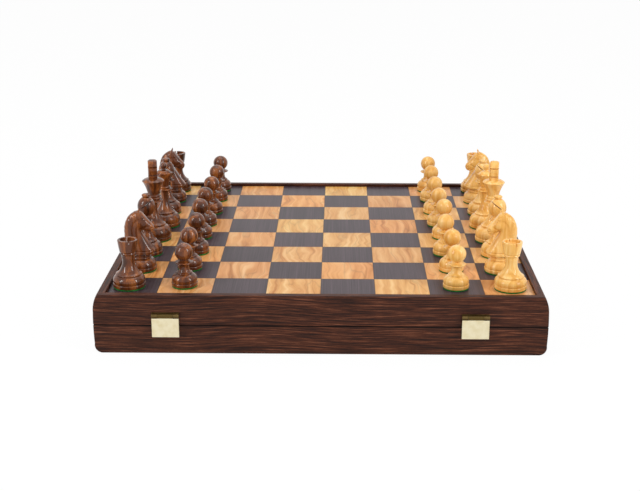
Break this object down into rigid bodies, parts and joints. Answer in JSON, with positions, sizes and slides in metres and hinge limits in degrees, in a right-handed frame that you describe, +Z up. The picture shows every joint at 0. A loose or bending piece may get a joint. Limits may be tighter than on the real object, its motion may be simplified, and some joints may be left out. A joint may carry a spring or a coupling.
{
  "type": "folding chess box with chessmen",
  "caption": "Square hinged wooden chess box: the lid carries an inlaid board with turned chessmen on it, two brass clasps close it, and the inside is lined for storing the men.",
  "frame": {"origin": "middle of the box's flat underside", "axes": "+Z up, square to the board; -Y towards the clasps at the front; +X to the right as seen from the front"},
  "size_m": [0.414, 0.4156, 0.1383],
  "materials": {
    "case_veneer": "satin lacquered dark brown veneer with fine streaks",
    "panel_wood": "plain thin board",
    "dark_square_veneer": "satin dark veneer with fine straight grain",
    "light_square_veneer": "satin figured burl veneer",
    "felt": "green felt",
    "brass": "satin brass",
    "satin_brass": "pale satin brass",
    "dark_men_wood": "glossy lacquered brown wood",
    "light_men_wood": "glossy lacquered pale yellow wood"
  },
  "bodies": {
    "base": {"base_front_wall": "case_veneer", "base_back_wall": "case_veneer", "base_left_wall": "case_veneer", "base_right_wall": "case_veneer", "base_panel": "panel_wood", "base_lining": "felt", "centre_divider": "panel_wood", "left_hinge_base_leaf": "brass", "right_hinge_base_leaf": "brass", "hinge_pins": "brass", "base_screws": "brass", "clasp_catches": "brass"},
    "lid": {"lid_front_wall": "case_veneer", "lid_back_wall": "case_veneer", "lid_left_wall": "case_veneer", "lid_right_wall": "case_veneer", "board_panel": "panel_wood", "dark_squares": "dark_square_veneer", "light_squares": "light_square_veneer", "lid_lining": "felt", "left_hinge_lid_leaf": "brass", "right_hinge_lid_leaf": "brass", "lid_screws": "brass", "left_clasp_plate": "brass", "right_clasp_plate": "brass", "clasp_pins": "brass"},
    "left_flap": {"left_clasp_flap": "satin_brass"},
    "right_flap": {"right_clasp_flap": "satin_brass"},
    "dark_rook_1_man": {"dark_rook_1": "dark_men_wood"},
    "dark_knight_1_man": {"dark_knight_1": "dark_men_wood"},
    "dark_bishop_1_man": {"dark_bishop_1": "dark_men_wood"},
    "dark_king_man": {"dark_king": "dark_men_wood"},
    "dark_queen_man": {"dark_queen": "dark_men_wood"},
    "dark_bishop_2_man": {"dark_bishop_2": "dark_men_wood"},
    "dark_knight_2_man": {"dark_knight_2": "dark_men_wood"},
    "dark_rook_2_man": {"dark_rook_2": "dark_men_wood"},
    "dark_pawn_1_man": {"dark_pawn_1": "dark_men_wood"},
    "dark_pawn_2_man": {"dark_pawn_2": "dark_men_wood"},
    "dark_pawn_3_man": {"dark_pawn_3": "dark_men_wood"},
    "dark_pawn_4_man": {"dark_pawn_4": "dark_men_wood"},
    "dark_pawn_5_man": {"dark_pawn_5": "dark_men_wood"},
    "dark_pawn_6_man": {"dark_pawn_6": "dark_men_wood"},
    "dark_pawn_7_man": {"dark_pawn_7": "dark_men_wood"},
    "dark_pawn_8_man": {"dark_pawn_8": "dark_men_wood"},
    "light_rook_1_man": {"light_rook_1": "light_men_wood"},
    "light_knight_1_man": {"light_knight_1": "light_men_wood"},
    "light_bishop_1_man": {"light_bishop_1": "light_men_wood"},
    "light_king_man": {"light_king": "light_men_wood"},
    "light_queen_man": {"light_queen": "light_men_wood"},
    "light_bishop_2_man": {"light_bishop_2": "light_men_wood"},
    "light_knight_2_man": {"light_knight_2": "light_men_wood"},
    "light_rook_2_man": {"light_rook_2": "light_men_wood"},
    "light_pawn_1_man": {"light_pawn_1": "light_men_wood"},
    "light_pawn_2_man": {"light_pawn_2": "light_men_wood"},
    "light_pawn_3_man": {"light_pawn_3": "light_men_wood"},
    "light_pawn_4_man": {"light_pawn_4": "light_men_wood"},
    "light_pawn_5_man": {"light_pawn_5": "light_men_wood"},
    "light_pawn_6_man": {"light_pawn_6": "light_men_wood"},
    "light_pawn_7_man": {"light_pawn_7": "light_men_wood"},
    "light_pawn_8_man": {"light_pawn_8": "light_men_wood"}
  },
  "joints": [
    {"name": "lid_hinge", "type": "hinge", "parent": "base", "child": "lid", "pos_m": [0, 0.2048, 0.0273], "axis": [-1, 0, 0], "range_deg": [0, 95]},
    {"name": "left_clasp", "type": "hinge", "parent": "lid", "child": "left_flap", "pos_m": [-0.1405, -0.2051, 0.0376], "axis": [-1, 0, 0], "range_deg": [0, 100]},
    {"name": "right_clasp", "type": "hinge", "parent": "lid", "child": "right_flap", "pos_m": [0.1405, -0.2051, 0.0376], "axis": [-1, 0, 0], "range_deg": [0, 100]},
    {"name": "lift_dark_rook_1", "type": "slide", "parent": "lid", "child": "dark_rook_1_man", "axis": [0, 0, 1], "range_m": [0, 0.12]},
    {"name": "lift_dark_knight_1", "type": "slide", "parent": "lid", "child": "dark_knight_1_man", "axis": [0, 0, 1], "range_m": [0, 0.12]},
    {"name": "lift_dark_bishop_1", "type": "slide", "parent": "lid", "child": "dark_bishop_1_man", "axis": [0, 0, 1], "range_m": [0, 0.12]},
    {"name": "lift_dark_king", "type": "slide", "parent": "lid", "child": "dark_king_man", "axis": [0, 0, 1], "range_m": [0, 0.12]},
    {"name": "lift_dark_queen", "type": "slide", "parent": "lid", "child": "dark_queen_man", "axis": [0, 0, 1], "range_m": [0, 0.12]},
    {"name": "lift_dark_bishop_2", "type": "slide", "parent": "lid", "child": "dark_bishop_2_man", "axis": [0, 0, 1], "range_m": [0, 0.12]},
    {"name": "lift_dark_knight_2", "type": "slide", "parent": "lid", "child": "dark_knight_2_man", "axis": [0, 0, 1], "range_m": [0, 0.12]},
    {"name": "lift_dark_rook_2", "type": "slide", "parent": "lid", "child": "dark_rook_2_man", "axis": [0, 0, 1], "range_m": [0, 0.12]},
    {"name": "lift_dark_pawn_1", "type": "slide", "parent": "lid", "child": "dark_pawn_1_man", "axis": [0, 0, 1], "range_m": [0, 0.12]},
    {"name": "lift_dark_pawn_2", "type": "slide", "parent": "lid", "child": "dark_pawn_2_man", "axis": [0, 0, 1], "range_m": [0, 0.12]},
    {"name": "lift_dark_pawn_3", "type": "slide", "parent": "lid", "child": "dark_pawn_3_man", "axis": [0, 0, 1], "range_m": [0, 0.12]},
    {"name": "lift_dark_pawn_4", "type": "slide", "parent": "lid", "child": "dark_pawn_4_man", "axis": [0, 0, 1], "range_m": [0, 0.12]},
    {"name": "lift_dark_pawn_5", "type": "slide", "parent": "lid", "child": "dark_pawn_5_man", "axis": [0, 0, 1], "range_m": [0, 0.12]},
    {"name": "lift_dark_pawn_6", "type": "slide", "parent": "lid", "child": "dark_pawn_6_man", "axis": [0, 0, 1], "range_m": [0, 0.12]},
    {"name": "lift_dark_pawn_7", "type": "slide", "parent": "lid", "child": "dark_pawn_7_man", "axis": [0, 0, 1], "range_m": [0, 0.12]},
    {"name": "lift_dark_pawn_8", "type": "slide", "parent": "lid", "child": "dark_pawn_8_man", "axis": [0, 0, 1], "range_m": [0, 0.12]},
    {"name": "lift_light_rook_1", "type": "slide", "parent": "lid", "child": "light_rook_1_man", "axis": [0, 0, 1], "range_m": [0, 0.12]},
    {"name": "lift_light_knight_1", "type": "slide", "parent": "lid", "child": "light_knight_1_man", "axis": [0, 0, 1], "range_m": [0, 0.12]},
    {"name": "lift_light_bishop_1", "type": "slide", "parent": "lid", "child": "light_bishop_1_man", "axis": [0, 0, 1], "range_m": [0, 0.12]},
    {"name": "lift_light_king", "type": "slide", "parent": "lid", "child": "light_king_man", "axis": [0, 0, 1], "range_m": [0, 0.12]},
    {"name": "lift_light_queen", "type": "slide", "parent": "lid", "child": "light_queen_man", "axis": [0, 0, 1], "range_m": [0, 0.12]},
    {"name": "lift_light_bishop_2", "type": "slide", "parent": "lid", "child": "light_bishop_2_man", "axis": [0, 0, 1], "range_m": [0, 0.12]},
    {"name": "lift_light_knight_2", "type": "slide", "parent": "lid", "child": "light_knight_2_man", "axis": [0, 0, 1], "range_m": [0, 0.12]},
    {"name": "lift_light_rook_2", "type": "slide", "parent": "lid", "child": "light_rook_2_man", "axis": [0, 0, 1], "range_m": [0, 0.12]},
    {"name": "lift_light_pawn_1", "type": "slide", "parent": "lid", "child": "light_pawn_1_man", "axis": [0, 0, 1], "range_m": [0, 0.12]},
    {"name": "lift_light_pawn_2", "type": "slide", "parent": "lid", "child": "light_pawn_2_man", "axis": [0, 0, 1], "range_m": [0, 0.12]},
    {"name": "lift_light_pawn_3", "type": "slide", "parent": "lid", "child": "light_pawn_3_man", "axis": [0, 0, 1], "range_m": [0, 0.12]},
    {"name": "lift_light_pawn_4", "type": "slide", "parent": "lid", "child": "light_pawn_4_man", "axis": [0, 0, 1], "range_m": [0, 0.12]},
    {"name": "lift_light_pawn_5", "type": "slide", "parent": "lid", "child": "light_pawn_5_man", "axis": [0, 0, 1], "range_m": [0, 0.12]},
    {"name": "lift_light_pawn_6", "type": "slide", "parent": "lid", "child": "light_pawn_6_man", "axis": [0, 0, 1], "range_m": [0, 0.12]},
    {"name": "lift_light_pawn_7", "type": "slide", "parent": "lid", "child": "light_pawn_7_man", "axis": [0, 0, 1], "range_m": [0, 0.12]},
    {"name": "lift_light_pawn_8", "type": "slide", "parent": "lid", "child": "light_pawn_8_man", "axis": [0, 0, 1], "range_m": [0, 0.12]}
  ]
}
